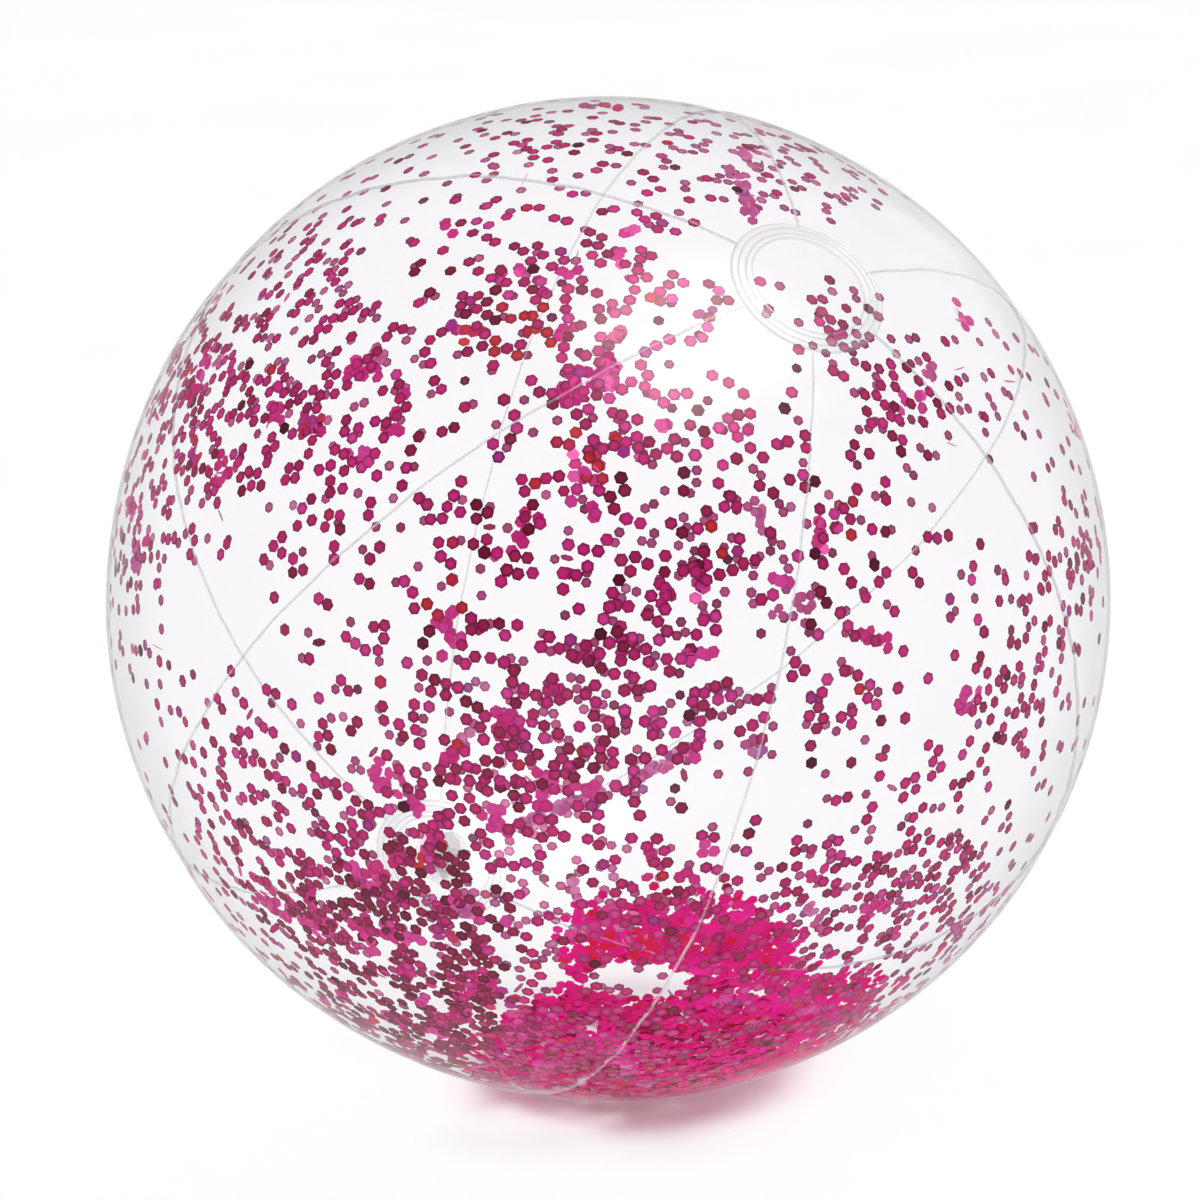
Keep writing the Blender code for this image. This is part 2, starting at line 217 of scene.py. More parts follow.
def vinyl_material(name, dark, light, roughness, alpha):
    """Soft moulded vinyl, cloudy and a little see-through."""
    n = Nodes(name)
    skin = n.add("ShaderNodeBsdfPrincipled", Roughness=roughness, IOR=1.53)
    cloud = n.noise(220.0, 4.0, 0.55)
    n.link(n.ramp(cloud, [(0.25, dark), (0.75, light)]), skin.inputs["Base Color"])
    skin.inputs["Subsurface Weight"].default_value = 0.35
    skin.inputs["Subsurface Scale"].default_value = 0.002
    skin.inputs["Alpha"].default_value = alpha
    fine = n.noise(900.0, 2.0, 0.5)
    n.link(n.bump(fine, 0.15, 0.0002), skin.inputs["Normal"])
    return n.finish(skin.outputs[0])


def flake_material(name, painted_glow=0.0, pale=0.0):
    """Foil: pink in many shades, darker at the cut edge, duller on the reverse. The glow, when asked for, is painted
    light: the flakes emit in their own colour, standing in for light passed on between flakes that lie in a pile.
    """
    n = Nodes(name)
    tint = n.add("ShaderNodeAttribute", attribute_name="tint").outputs["Fac"]
    edge = n.add("ShaderNodeAttribute", attribute_name="edge").outputs["Fac"]
    reverse = n.add("ShaderNodeAttribute", attribute_name="reverse").outputs["Fac"]
    face = n.ramp(tint, [
        (0.00, (0.110, 0.003, 0.030)),
        (0.14, (0.330, 0.004 + 0.3 * pale, 0.058)),
        (0.30, (0.510, 0.005 + 0.7 * pale, 0.108 + pale)),
        (0.50, (0.720, 0.006 + pale, 0.175 + 2.0 * pale)),
        (0.66, (0.860, 0.008 + pale, 0.250 + 2.5 * pale)),
        (0.80, (0.940, 0.018 + 3.0 * pale, 0.380 + 3.0 * pale)),
        (0.88, (0.760, 0.006 + pale, 0.050 + pale)),
        (0.94, (0.820, 0.018 + pale, 0.030 + pale)),
        (1.00, (0.560, 0.020 + pale, 0.330 + pale)),
    ])
    dull = n.ramp(tint, [
        (0.00, (0.220, 0.036, 0.100)),
        (0.30, (0.540, 0.075, 0.240)),
        (0.66, (0.770, 0.140, 0.400)),
        (0.80, (0.860, 0.270, 0.560)),
        (0.90, (0.660, 0.070, 0.170)),
        (1.00, (0.540, 0.140, 0.430)),
    ])
    sides = n.add("ShaderNodeMix", data_type="RGBA")
    n.link(reverse, sides.inputs[0])
    n.link(face, sides.inputs[6])
    n.link(dull, sides.inputs[7])
    grain = n.noise(900.0, 3.0, 0.6)
    mottle = n.ramp(grain, [(0.25, 0.86), (0.75, 1.0)])
    rim = n.ramp(edge, [(0.0, 1.0), (0.45, 0.92), (0.72, 0.58), (0.86, 0.34), (1.0, 0.26)])
    shade = n.math("MULTIPLY", mottle, rim)
    body = n.add("ShaderNodeMix", data_type="RGBA", blend_type="MULTIPLY")
    body.inputs[0].default_value = 1.0
    n.link(sides.outputs[2], body.inputs[6])
    n.link(shade, body.inputs[7])
    foil = n.add("ShaderNodeBsdfPrincipled", Metallic=0.0 if painted_glow else 0.06)
    n.link(body.outputs[2], foil.inputs["Base Color"])
    n.link(n.ramp(grain, [(0.2, 0.28), (0.8, 0.46)]), foil.inputs["Roughness"])
    foil.inputs["Specular IOR Level"].default_value = 0.0 if painted_glow else 0.16
    # painted light: the flakes emit their own colour, in place of light passed on between piled flakes
    if painted_glow:
        n.link(body.outputs[2], foil.inputs["Emission Color"])
        foil.inputs["Emission Strength"].default_value = painted_glow
    return n.finish(foil.outputs[0])


clear_tint = (
    (0.993, 0.988, 0.992), (0.981, 0.977, 0.981), (0.928, 0.926, 0.930), (0.620, 0.622, 0.634),
)
weld_tint = (
    (0.984, 0.984, 0.986), (0.972, 0.973, 0.976), (0.955, 0.957, 0.960), (0.925, 0.928, 0.933),
)
tip_tint = (
    (0.996, 0.995, 0.996), (0.992, 0.991, 0.992), (0.985, 0.984, 0.985), (0.970, 0.969, 0.970),
)
line_tint = (
    (0.820, 0.826, 0.836), (0.780, 0.786, 0.796), (0.740, 0.748, 0.760), (0.660, 0.670, 0.685),
)
film_look = film_material("clear_vinyl_film", 0.010, clear_tint, (0.17, 0.24))
tip_look = film_material("panel_tip_film", 0.010, tip_tint, (0.17, 0.24))
weld_look = film_material("welded_seam", 0.030, weld_tint, (0.18, 0.28), haze=0.24)
disc_look = film_material("clear_disc_film", 0.016, clear_tint, (0.16, 0.24), haze=0.02)
ring_look = film_material("embossed_weld_ring", 0.050, line_tint, (0.18, 0.28), haze=0.16)
margin_look = film_material("disc_weld_margin", 0.022, weld_tint, (0.18, 0.28), haze=0.24)
flake_look = flake_material("foil_flakes", 0.0, 0.020)
# the piled flakes carry a faint painted glow, an emission of 0.09 in their own colour
pile_look = flake_material("piled_foil_flakes_painted_glow", 0.09)
flange_look = vinyl_material("clear_flange_vinyl", (0.84, 0.85, 0.87), (0.94, 0.94, 0.95), 0.26, 0.22)
stem_look = vinyl_material("soft_stem_vinyl", (0.84, 0.85, 0.87), (0.94, 0.94, 0.95), 0.32, 0.34)
flap_look = vinyl_material("check_flap_vinyl", (0.80, 0.81, 0.84), (0.92, 0.92, 0.93), 0.36, 0.48)
plug_look = vinyl_material("stopper_vinyl", (0.86, 0.87, 0.88), (0.95, 0.95, 0.96), 0.28, 0.50)
tether_look = vinyl_material("tether_vinyl", (0.84, 0.85, 0.87), (0.93, 0.94, 0.95), 0.32, 0.50)


# ---------------------------------------------------------------- shapes

def smoothstep(x):
    x = np.clip(x, 0.0, 1.0)
    return x * x * (3.0 - 2.0 * x)


def waves(seed, t, terms):
    """A sum of sine waves along t, the same each time for one seed."""
    r = random.Random(seed)
    out = 0.0
    for length, height in terms:
        out = out + height * np.sin(2 * math.pi * t / (length * r.uniform(0.85, 1.15)) + r.uniform(0, 6.28))
    return out


def by_seam(k, t, kind, terms):
    out = np.zeros(np.broadcast(k, t).shape)
    k = np.broadcast_to(k, out.shape)
    t = np.broadcast_to(t, out.shape)
    for seam in range(PANELS):
        here = k == seam
        out[here] = waves(f"{kind}{seam}", t[here], terms)
    return out


def directions(polar, turn):
    """Unit vectors in the row frame for angles about the pole axis."""
    s = np.sin(polar)
    x, y, z = s * np.cos(turn), s * np.sin(turn), np.cos(polar)
    return x[..., None] * CLIMB + y[..., None] * SIDE + z[..., None] * POLE


def angles(d):
    """Polar angle and turn of unit vectors."""
    return np.arccos(np.clip(d @ POLE, -1, 1)), np.arctan2(d @ SIDE, d @ CLIMB)


def film_radius(polar, turn, inset=0.0):
    """Distance of the film's outer face from the ball's centre, less an inset."""
    polar, turn = np.broadcast_arrays(polar, turn)
    off = (turn - SEAM_PHASE + HALF) % (2 * HALF) - HALF
    k = np.round((turn - SEAM_PHASE - off) / (2 * HALF)).astype(int) % PANELS
    rho = R * np.sin(polar)
    s = rho * np.abs(np.sin(off))
    t = polar * R
    calm = smoothstep((rho - 0.034) / 0.030)
    ripple = by_seam(k, t, "pucker", ((0.019, 0.6), (0.031, 0.7), (0.060, 0.5)))
    r = R - calm * VALLEY * np.exp(-s / VALLEY_WIDTH)
    r = r - calm * PUCKER * (0.6 + ripple) * np.exp(-s / PUCKER_WIDTH)
    sway = waves("sway", 3 * turn + 2.0 * polar, ((2.1, 1.0), (3.4, 1.0)))
    r = r + 0.00018 * sway * np.sin(polar) ** 2 - 0.0002
    r = r - inset
    down = -(directions(polar, turn)[..., 2])
    flat = np.where(down > 0.5, (CENTRE - inset) / np.maximum(down, 0.5), 10.0)
    soft = 0.00012
    return -soft * np.logaddexp(-r / soft, -flat / soft)


def mesh_object(name, points, faces, looks, slots=None, angle=40.0):
    mesh = bpy.data.meshes.new(name)
    mesh.from_pydata([tuple(p) for p in points], [], faces)
    for look in looks:
        mesh.materials.append(look)
    if slots is not None:
        mesh.polygons.foreach_set("material_index", np.asarray(slots, np.int32))
    mesh.shade_smooth()
    mesh.set_sharp_from_angle(angle=math.radians(angle))
    made = bpy.data.objects.new(name, mesh)
    bpy.context.scene.collection.objects.link(made)
    return made


def panel_object(index):
    """One gore: a closed shell with a turned-in weld fin along each long edge."""
    fine = index == 3
    first = math.asin(TRIM / R)
    ends = np.arcsin(np.array((DISC - 0.0008, DISC - 0.0002)) / R)
    rows = np.linspace(first, math.pi - first, 331 if fine else 176)
    rows = np.sort(np.concatenate([rows, ends, math.pi - ends]))
    near = np.array((SEAM_GAP, WELD, 0.0010, 0.0018, 0.0030, 0.0045, 0.0066, 0.0098))
    middle = 103 if fine else 45
    centre = SEAM_PHASE - HALF + index * 2 * HALF
    left_seam, right_seam = (index - 1) % PANELS, index % PANELS

    def columns(edge):
        """Turn from the panel's middle, for each row and column."""
        out = []
        for polar in rows:
            rho = R * math.sin(polar)
            s = near.copy()
            s[0] = edge
            s[1] = max(s[1], edge + 0.00002)
            turn = HALF - np.arcsin(s / rho)
            inside = np.linspace(-turn[-1], turn[-1], middle)[1:-1]
            out.append(np.concatenate([-turn, inside, turn[::-1]]))
        return np.array(out)

    def place(turn, inset):
        polar = rows[:, None]
        rho = R * np.sin(polar)
        r = film_radius(polar, centre + turn, inset)
        t = polar * R
        calm = smoothstep((rho - 0.034) / 0.030)
        terms = ((0.045, 0.6), (0.110, 0.8), (0.230, 0.6))
        to_left = rho * np.abs(np.sin(turn + HALF))
        to_right = rho * np.abs(np.sin(HALF - turn))
        shift = by_seam(left_seam, t, "wiggle", terms) * np.exp(-to_left / 0.02)
        shift = shift + by_seam(right_seam, t, "wiggle", terms) * np.exp(-to_right / 0.02)
        moved = turn + calm * WIGGLE * shift / rho
        return C + r[..., None] * directions(np.broadcast_to(polar, moved.shape), centre + moved)

    # under a disc the fins are pressed flat
    fin = 0.00004 + (FIN - 0.00004) * (R * np.sin(rows) > DISC - 0.0004)[:, None]
    outer = place(columns(SEAM_GAP), 0.0)
    inner = place(columns(SEAM_GAP + FILM), FILM)
    tips_out = place(columns(SEAM_GAP), FILM + fin)
    tips_in = place(columns(SEAM_GAP + FILM), FILM + fin)
    n = outer.shape[1] - 1
    loop = np.concatenate([
        outer,
        tips_out[:, -1:], tips_in[:, -1:],
        inner[:, ::-1],
        tips_in[:, :1], tips_out[:, :1],
    ], axis=1)
    m = loop.shape[1]
    count = len(rows)
    points = loop.reshape(-1, 3)
    faces, slots = [], []
    for i in range(count - 1):
        a, b = i * m, (i + 1) * m
        for j in range(m):
            k = (j + 1) % m
            faces.append((a + j, a + k, b + k, b + j))
            weld = j == 0 or j >= m - 4 or n - 1 <= j <= n + 3
            covered = R * math.sin(0.5 * (rows[i] + rows[i + 1])) < DISC - 0.0004
            slots.append((2 if covered else 1) if weld else 0)
    for row, flip in ((0, False), (count - 1, True)):
        a = row * m
        strip = [(a + j, a + 2 * n + 3 - j, a + 2 * n + 2 - j, a + j + 1) for j in range(n)]
        strip.append((a + n, a + n + 3, a + n + 2, a + n + 1))
        strip.append((a, a + 2 * n + 5, a + 2 * n + 4, a + 2 * n + 3))
        for face in strip:
            faces.append(face[::-1] if flip else face)
            slots.append(1)
    made = mesh_object(f"film_panel_{index + 1}", points, faces, [film_look, weld_look, tip_look], slots)
    outward(made)
    return made


def outward(obj):
    """Turns a closed mesh's faces so that they look out of it."""
    import bmesh
    bm = bmesh.new()
    bm.from_mesh(obj.data)
    bmesh.ops.recalc_face_normals(bm, faces=bm.faces)
    if bm.calc_volume(signed=True) < 0:
        bmesh.ops.reverse_faces(bm, faces=bm.faces)
    bm.to_mesh(obj.data)
    bm.free()


def basis(x, y, z, origin):
    out = Matrix.Identity(4)
    for column, axis in enumerate((x, y, z)):
        for row in range(3):
            out[row][column] = axis[row]
    for row in range(3):
        out[row][3] = origin[row]
    return out


front_frame = basis(CLIMB, SIDE, POLE, C)
VALVE = -POLE
valve_origin = C + R * VALVE
valve_frame = basis(CLIMB, np.cross(VALVE, CLIMB), VALVE, valve_origin)
rear_frame = basis(CLIMB, np.cross(VALVE, CLIMB), VALVE, C)


def rounded(profile, radius=0.00012, steps=3):
    """The same closed outline with its corners cut to small arcs."""
    out = []
    count = len(profile)
    for i in range(count):
        p0, p1, p2 = (np.array(profile[(i + d) % count]) for d in (-1, 0, 1))
        if p1[0] < 1e-9:
            out.append(tuple(p1))
            continue
        a, b = p0 - p1, p2 - p1
        la, lb = np.linalg.norm(a), np.linalg.norm(b)
        cut = min(radius, 0.4 * la, 0.4 * lb)
        if np.dot(a, b) / (la * lb) < -0.94:
            out.append(tuple(p1))
            continue
        start, end = p1 + a / la * cut, p1 + b / lb * cut
        for j in range(steps + 1):
            f = j / steps
            q = (1 - f) ** 2 * start + 2 * f * (1 - f) * p1 + f * f * end
            out.append(tuple(q))
    return out


def lathe(name, profile, matrix, looks, steps=96, slot_of=None, angle=40.0):
    """Turns a closed outline about Z; points on the axis are shared."""
    points, rings = [], []
    for x, z in profile:
        if x < 1e-9:
            rings.append([len(points)] * steps)
            points.append((0.0, 0.0, z))
        else:
            rings.append(list(range(len(points), len(points) + steps)))
            points += [
                (x * math.cos(2 * math.pi * i / steps), x * math.sin(2 * math.pi * i / steps), z)
                for i in range(steps)
            ]
    faces, slots = [], []
    count = len(profile)
    for k in range(count):
        a, b = rings[k], rings[(k + 1) % count]
        if profile[k][0] < 1e-9 and profile[(k + 1) % count][0] < 1e-9:
            continue
        for i in range(steps):
            j = (i + 1) % steps
            face = []
            for v in (a[i], a[j], b[j], b[i]):
                if v not in face:
                    face.append(v)
            faces.append(face)
            slots.append(slot_of(profile[k], profile[(k + 1) % count]) if slot_of else 0)
    points = [matrix @ Vector(p) for p in points]
    made = mesh_object(name, points, faces, looks, slots, angle)
    outward(made)
    return made


RINGS = ((0.0252, 0.00012, 0.0006), (0.0277, 0.00026, 0.00055), (0.0309, 0.00030, 0.00055), (0.0334, 0.00030, 0.00045))
MILKY = 0.0272               # the welded margin of a disc starts here


def disc_profile(hole):
    """Cross-section of an end disc lying on the panel tips, with its embossed rings."""
    def top(rho):
        lift = 0.0
        for at, height, half in RINGS:
            lift += height * math.exp(-((rho - at) / (0.62 * half)) ** 2)
        edge = DISC - rho
        fall = 0.00012 * math.exp(-edge / 0.0004)
        return math.sqrt(R * R - rho * rho) + 0.00034 + lift - fall

    def under(rho):
        return math.sqrt(R * R - rho * rho) + 0.00004

    plain = list(np.linspace(hole, 0.0222, 12 if hole else 14))
    close = list(np.arange(0.0226, DISC - 0.0001, 0.00014))
    out = [(r, top(r)) for r in plain + close] + [(DISC, top(DISC) - 0.0001)]
    back = [(r, under(r)) for r in np.linspace(DISC, hole, 14)]
    return out + back


def ring_slot(a, b):
    mid = 0.5 * (a[0] + b[0])
    on_top = a[1] > math.sqrt(R * R - min(a[0], R) ** 2) + 0.0002
    if not on_top:
        return 0
    if mid > DISC - 0.0008 or any(abs(mid - at) < half * 0.8 for at, height, half in RINGS[:3]):
        return 1
    return 2 if mid > MILKY else 0


# ---------------------------------------------------------------- glitter

def to_view(d):
    """Where directions from the centre land in the view, in ball radii right and up of its middle, and which are on the near wall."""
    p = (R - 0.0005) * d
    depth = DISTANCE - p @ BACK
    scale = DISTANCE / depth / (R * 1.008)
    return p @ RIGHT * scale, p @ UP * scale, (d @ BACK) > 0.125


# Drifts of clinging flakes, near wall: right, up, half width, half height in ball radii, cover
NEAR = (
    (-0.56, 0.61, 0.11, 0.09, 0.28), (-0.82, 0.47, 0.13, 0.13, 0.34),
    (-0.66, 0.37, 0.14, 0.12, 0.40), (-0.46, 0.45, 0.11, 0.08, 0.28),
    (-0.80, 0.25, 0.12, 0.12, 0.22), (-0.94, 0.15, 0.06, 0.14, 0.20),
    (-0.55, 0.19, 0.11, 0.09, 0.26), (-0.62, 0.09, 0.06, 0.06, 0.16), (-0.34, 0.10, 0.08, 0.08, 0.26), (-0.52, 0.28, 0.09, 0.07, 0.26),
    (-0.13, 0.91, 0.12, 0.05, 0.26), (-0.27, 0.71, 0.07, 0.05, 0.14),
    (-0.51, 0.71, 0.10, 0.06, 0.10), (0.08, 0.77, 0.10, 0.07, 0.24),
    (-0.18, 0.59, 0.12, 0.11, 0.62), (0.01, 0.61, 0.12, 0.11, 0.32), (-0.32, 0.30, 0.08, 0.08, 0.18),
    (-0.02, 0.39, 0.11, 0.10, 0.56), (-0.10, 0.27, 0.10, 0.08, 0.20),
    (0.06, 0.29, 0.12, 0.09, 0.36), (-0.24, 0.13, 0.09, 0.10, 0.42),
    (-0.04, 0.19, 0.08, 0.06, 0.14), (-0.10, 0.07, 0.07, 0.06, 0.22),
    (0.22, 0.11, 0.10, 0.08, 0.30), (0.08, 0.01, 0.13, 0.10, 0.60),
    (0.46, 0.13, 0.09, 0.08, 0.24), (0.42, 0.23, 0.08, 0.08, 0.18),
    (-0.46, -0.05, 0.11, 0.10, 0.16), (-0.26, -0.09, 0.08, 0.09, 0.36),
    (-0.02, -0.09, 0.12, 0.08, 0.58), (-0.18, -0.29, 0.17, 0.13, 0.96),
    (0.02, -0.27, 0.12, 0.10, 0.26), (0.18, -0.19, 0.10, 0.09, 0.28),
    (0.46, -0.17, 0.13, 0.11, 0.26), (0.48, 0.01, 0.08, 0.08, 0.14), (0.68, 0.08, 0.08, 0.08, 0.16),
    (-0.56, -0.29, 0.12, 0.11, 0.20), (-0.74, -0.33, 0.09, 0.10, 0.32),
    (-0.42, -0.53, 0.16, 0.12, 0.86), (-0.72, -0.50, 0.09, 0.09, 0.20), (-0.44, -0.69, 0.14, 0.10, 0.66),
    (-0.28, -0.71, 0.12, 0.12, 0.46), (-0.60, -0.61, 0.10, 0.10, 0.40),
    (0.18, -0.33, 0.12, 0.09, 0.12), (0.08, -0.61, 0.13, 0.09, 0.44),
    (0.38, -0.53, 0.12, 0.09, 0.26), (0.06, -0.50, 0.10, 0.06, 0.20), (0.64, -0.35, 0.09, 0.10, 0.30),
    (0.58, -0.57, 0.11, 0.09, 0.36), (0.80, -0.19, 0.08, 0.12, 0.36),
    (0.88, 0.01, 0.07, 0.11, 0.28), (0.94, 0.10, 0.04, 0.09, 0.36),
    (0.58, 0.39, 0.09, 0.09, 0.36), (0.50, 0.32, 0.07, 0.06, 0.24),
    (0.24, 0.33, 0.11, 0.10, 0.30), (0.16, 0.61, 0.09, 0.09, 0.24),
    (0.78, 0.47, 0.09, 0.08, 0.06), (0.42, 0.59, 0.06, 0.07, 0.16),
    (0.46, 0.54, 0.05, 0.04, 0.46), (0.70, -0.53, 0.07, 0.07, 0.34),
    (0.26, -0.75, 0.20, 0.10, 0.30), (-0.10, -0.90, 0.24, 0.07, 0.90), (-0.30, -0.82, 0.10, 0.06, 0.60),
    (-0.46, -0.84, 0.15, 0.07, 0.60), (-0.32, -0.90, 0.16, 0.06, 0.80),
    (0.46, -0.82, 0.12, 0.07, 0.75), (-0.12, -0.43, 0.11, 0.07, 0.22),
)
# The same on the far wall, seen through the ball
FAR = (
    (0.30, 0.86, 0.17, 0.07, 0.42), (0.10, 0.93, 0.14, 0.05, 0.18),
    (0.46, 0.79, 0.12, 0.09, 0.14), (-0.20, 0.85, 0.18, 0.09, 0.08),
    (-0.56, 0.56, 0.22, 0.18, 0.20), (-0.82, 0.34, 0.14, 0.22, 0.08), (-0.90, 0.07, 0.07, 0.09, 0.34), (-0.92, -0.10, 0.05, 0.08, 0.18),
    (-0.16, 0.52, 0.20, 0.18, 0.04), (0.12, 0.50, 0.22, 0.18, 0.02),
    (0.08, 0.16, 0.24, 0.20, 0.08), (0.30, 0.06, 0.20, 0.20, 0.14),
    (-0.40, 0.10, 0.26, 0.24, 0.03), (-0.10, -0.30, 0.24, 0.16, 0.26),
    (-0.50, -0.50, 0.26, 0.22, 0.22), (0.20, -0.10, 0.24, 0.20, 0.20),
    (0.50, -0.30, 0.26, 0.22, 0.02), (-0.08, -0.18, 0.09, 0.09, 0.30), (0.60, 0.34, 0.16, 0.16, 0.16),
    (0.84, 0.20, 0.12, 0.26, 0.10), (0.86, -0.20, 0.12, 0.22, 0.10),
    (0.16, -0.68, 0.34, 0.09, 0.80), (0.62, -0.58, 0.20, 0.14, 0.34),
    (0.50, 0.50, 0.12, 0.12, 0.14), (0.76, 0.42, 0.12, 0.12, 0.06),
    (-0.10, -0.60, 0.20, 0.12, 0.24),
)
# Bare places, near and far
BARE = (
    (0.52, 0.70, 0.22, 0.07), (0.66, 0.62, 0.10, 0.10), (-0.80, -0.02, 0.12, 0.10),
    (0.26, -0.40, 0.14, 0.05), (0.76, 0.20, 0.10, 0.10), (0.30, 0.50, 0.05, 0.05),
    (0.09, -0.75, 0.12, 0.025), (0.24, 0.70, 0.12, 0.06), (0.28, 0.49, 0.10, 0.06),
    (0.28, -0.10, 0.09, 0.07), (-0.44, 0.66, 0.06, 0.08), (0.44, 0.32, 0.05, 0.09),
    (-0.14, -0.02, 0.06, 0.05), (0.66, -0.24, 0.07, 0.09), (-0.30, 0.28, 0.07, 0.05),
)
# Where the foil is red, and where it is nearly black. The two near-black patches at the lower left are painted shade,
# where the flakes face the shaded floor under the ball.
RED = ((-0.18, 0.53, 0.07), (-0.08, 0.27, 0.08), (0.25, 0.13, 0.05), (0.47, 0.14, 0.08), (-0.30, 0.01, 0.07))
DARK_FOIL_AND_PAINTED_SHADE = ((-0.23, 0.13, 0.08, 0.5), (-0.40, -0.72, 0.24, 0.72), (0.00, 0.21, 0.06, 0.5), (0.20, 0.12, 0.06, 0.4), (-0.66, -0.66, 0.14, 0.5), (-0.96, 0.05, 0.08, 0.5))


def cover(u, v, near):
    table, base, gain = (NEAR, 0.026, 0.52) if near else (FAR, 0.018, 0.37)
    if u > 0.55:
        base *= 0.6
    clear = 1.0 - base
    for x, y, w, h, amount in table:
        q = ((u - x) / w) ** 2 + ((v - y) / h) ** 2
        if q < 5.0:
            clear *= 1.0 - gain * amount * math.exp(-q)
    out = 1.0 - clear
    for x, y, w, h in BARE:
        q = ((u - x) / w) ** 2 + ((v - y) / h) ** 2
        if q < 4.0:
            out *= 1.0 - 0.85 * math.exp(-q * q)
    return out


def local_axes(d):
    a = np.cross((0.31, 0.17, 0.93), d)
    a /= np.linalg.norm(a)
    return a, np.cross(d, a)


class Flakes:
    """Flakes that cling to the wall, grown in chains and clumps without piling up."""

    CELL = 0.008
    LOOK = 0.0130

    def __init__(self, seed):
        self.rng = random.Random(seed)
        self.at, self.layer = [], []
        self.cells = {}

    def near(self, p, reach):
        x, y, z = (int(math.floor(q / self.CELL)) for q in p)
        span = int(math.ceil(reach / self.CELL))
        for i in range(x - span, x + span + 1):
            for j in range(y - span, y + span + 1):
                for k in range(z - span, z + span + 1):
                    for n in self.cells.get((i, j, k), ()):
                        q = self.at[n]
                        s = math.dist(p, q)
                        if s < reach:
                            yield n, s

    def grow(self, wanted, tries):
        rng = self.rng
        for _ in range(tries):
            if len(self.at) >= wanted:
                break
            if rng.random() < 0.16 or len(self.at) < 200:
                z = rng.uniform(-1, 1)
                a = rng.uniform(0, 2 * math.pi)
                s = math.sqrt(1 - z * z)
                d = np.array((s * math.cos(a), s * math.sin(a), z))
            else:
                base = self.at[int(rng.random() * len(self.at))]
                d0 = np.array(base) / R
                t, b = local_axes(d0)
                a = rng.uniform(0, 2 * math.pi)
                step = FLATS * rng.choice((1.03, 1.06, 1.16, 1.3, 1.5)) / R
                d = d0 + step * (math.cos(a) * t + math.sin(a) * b)
                d /= np.linalg.norm(d)
            if d[2] < -0.9915:
                continue
            u, v, is_near = to_view(d)
            want = cover(u, v, is_near)
            p = Vector(d)
            clump = 0.5 + 0.9 * noise.noise(p * 21.0) + 0.6 * noise.noise(p * 47.0)
            want *= 1.05 * max(0.15, min(1.9, 2.0 * clump))
            point = tuple(R * d)
            count, closest, below = 0, 1.0, 0
            for n, s in self.near(point, self.LOOK):
                count += 1
                if s < closest:
                    closest = s
                if s < 0.93 * FLATS:
                    below = max(below, self.layer[n] + 1)
            if closest < 0.93 * FLATS and (rng.random() > 0.07 * (want > 0.35) or closest < 0.3 * FLATS or below > 2):
                continue
            if (count + 1) * FLAKE_AREA / (math.pi * self.LOOK ** 2) > want:
                continue
            index = len(self.at)
            self.at.append(point)
            self.layer.append(below)
            key = tuple(int(math.floor(q / self.CELL)) for q in point)
            self.cells.setdefault(key, []).append(index)


def tint_of(rng, u, v, near):
    pick = rng.random()
    for x, y, r in RED:
        if near and math.hypot(u - x, v - y) < r and pick < 0.45:
            return rng.uniform(0.86, 0.95)
    # near-black tints; the patches at the lower left are painted shade
    for x, y, r, share in DARK_FOIL_AND_PAINTED_SHADE:
        if near and math.hypot(u - x, v - y) < r and pick < share:
            return rng.uniform(0.08, 0.32)
    pick = rng.random()
    if pick < 0.02:
        return rng.uniform(0.0, 0.10)
    if pick < 0.16:
        return rng.uniform(0.14, 0.34)
    if pick < 0.80:
        return rng.uniform(0.36, 0.64)
    if pick < 0.95:
        return rng.uniform(0.60, 0.78)
    if pick < 0.96:
        return rng.uniform(0.86, 0.92)
    return rng.uniform(0.97, 1.0)


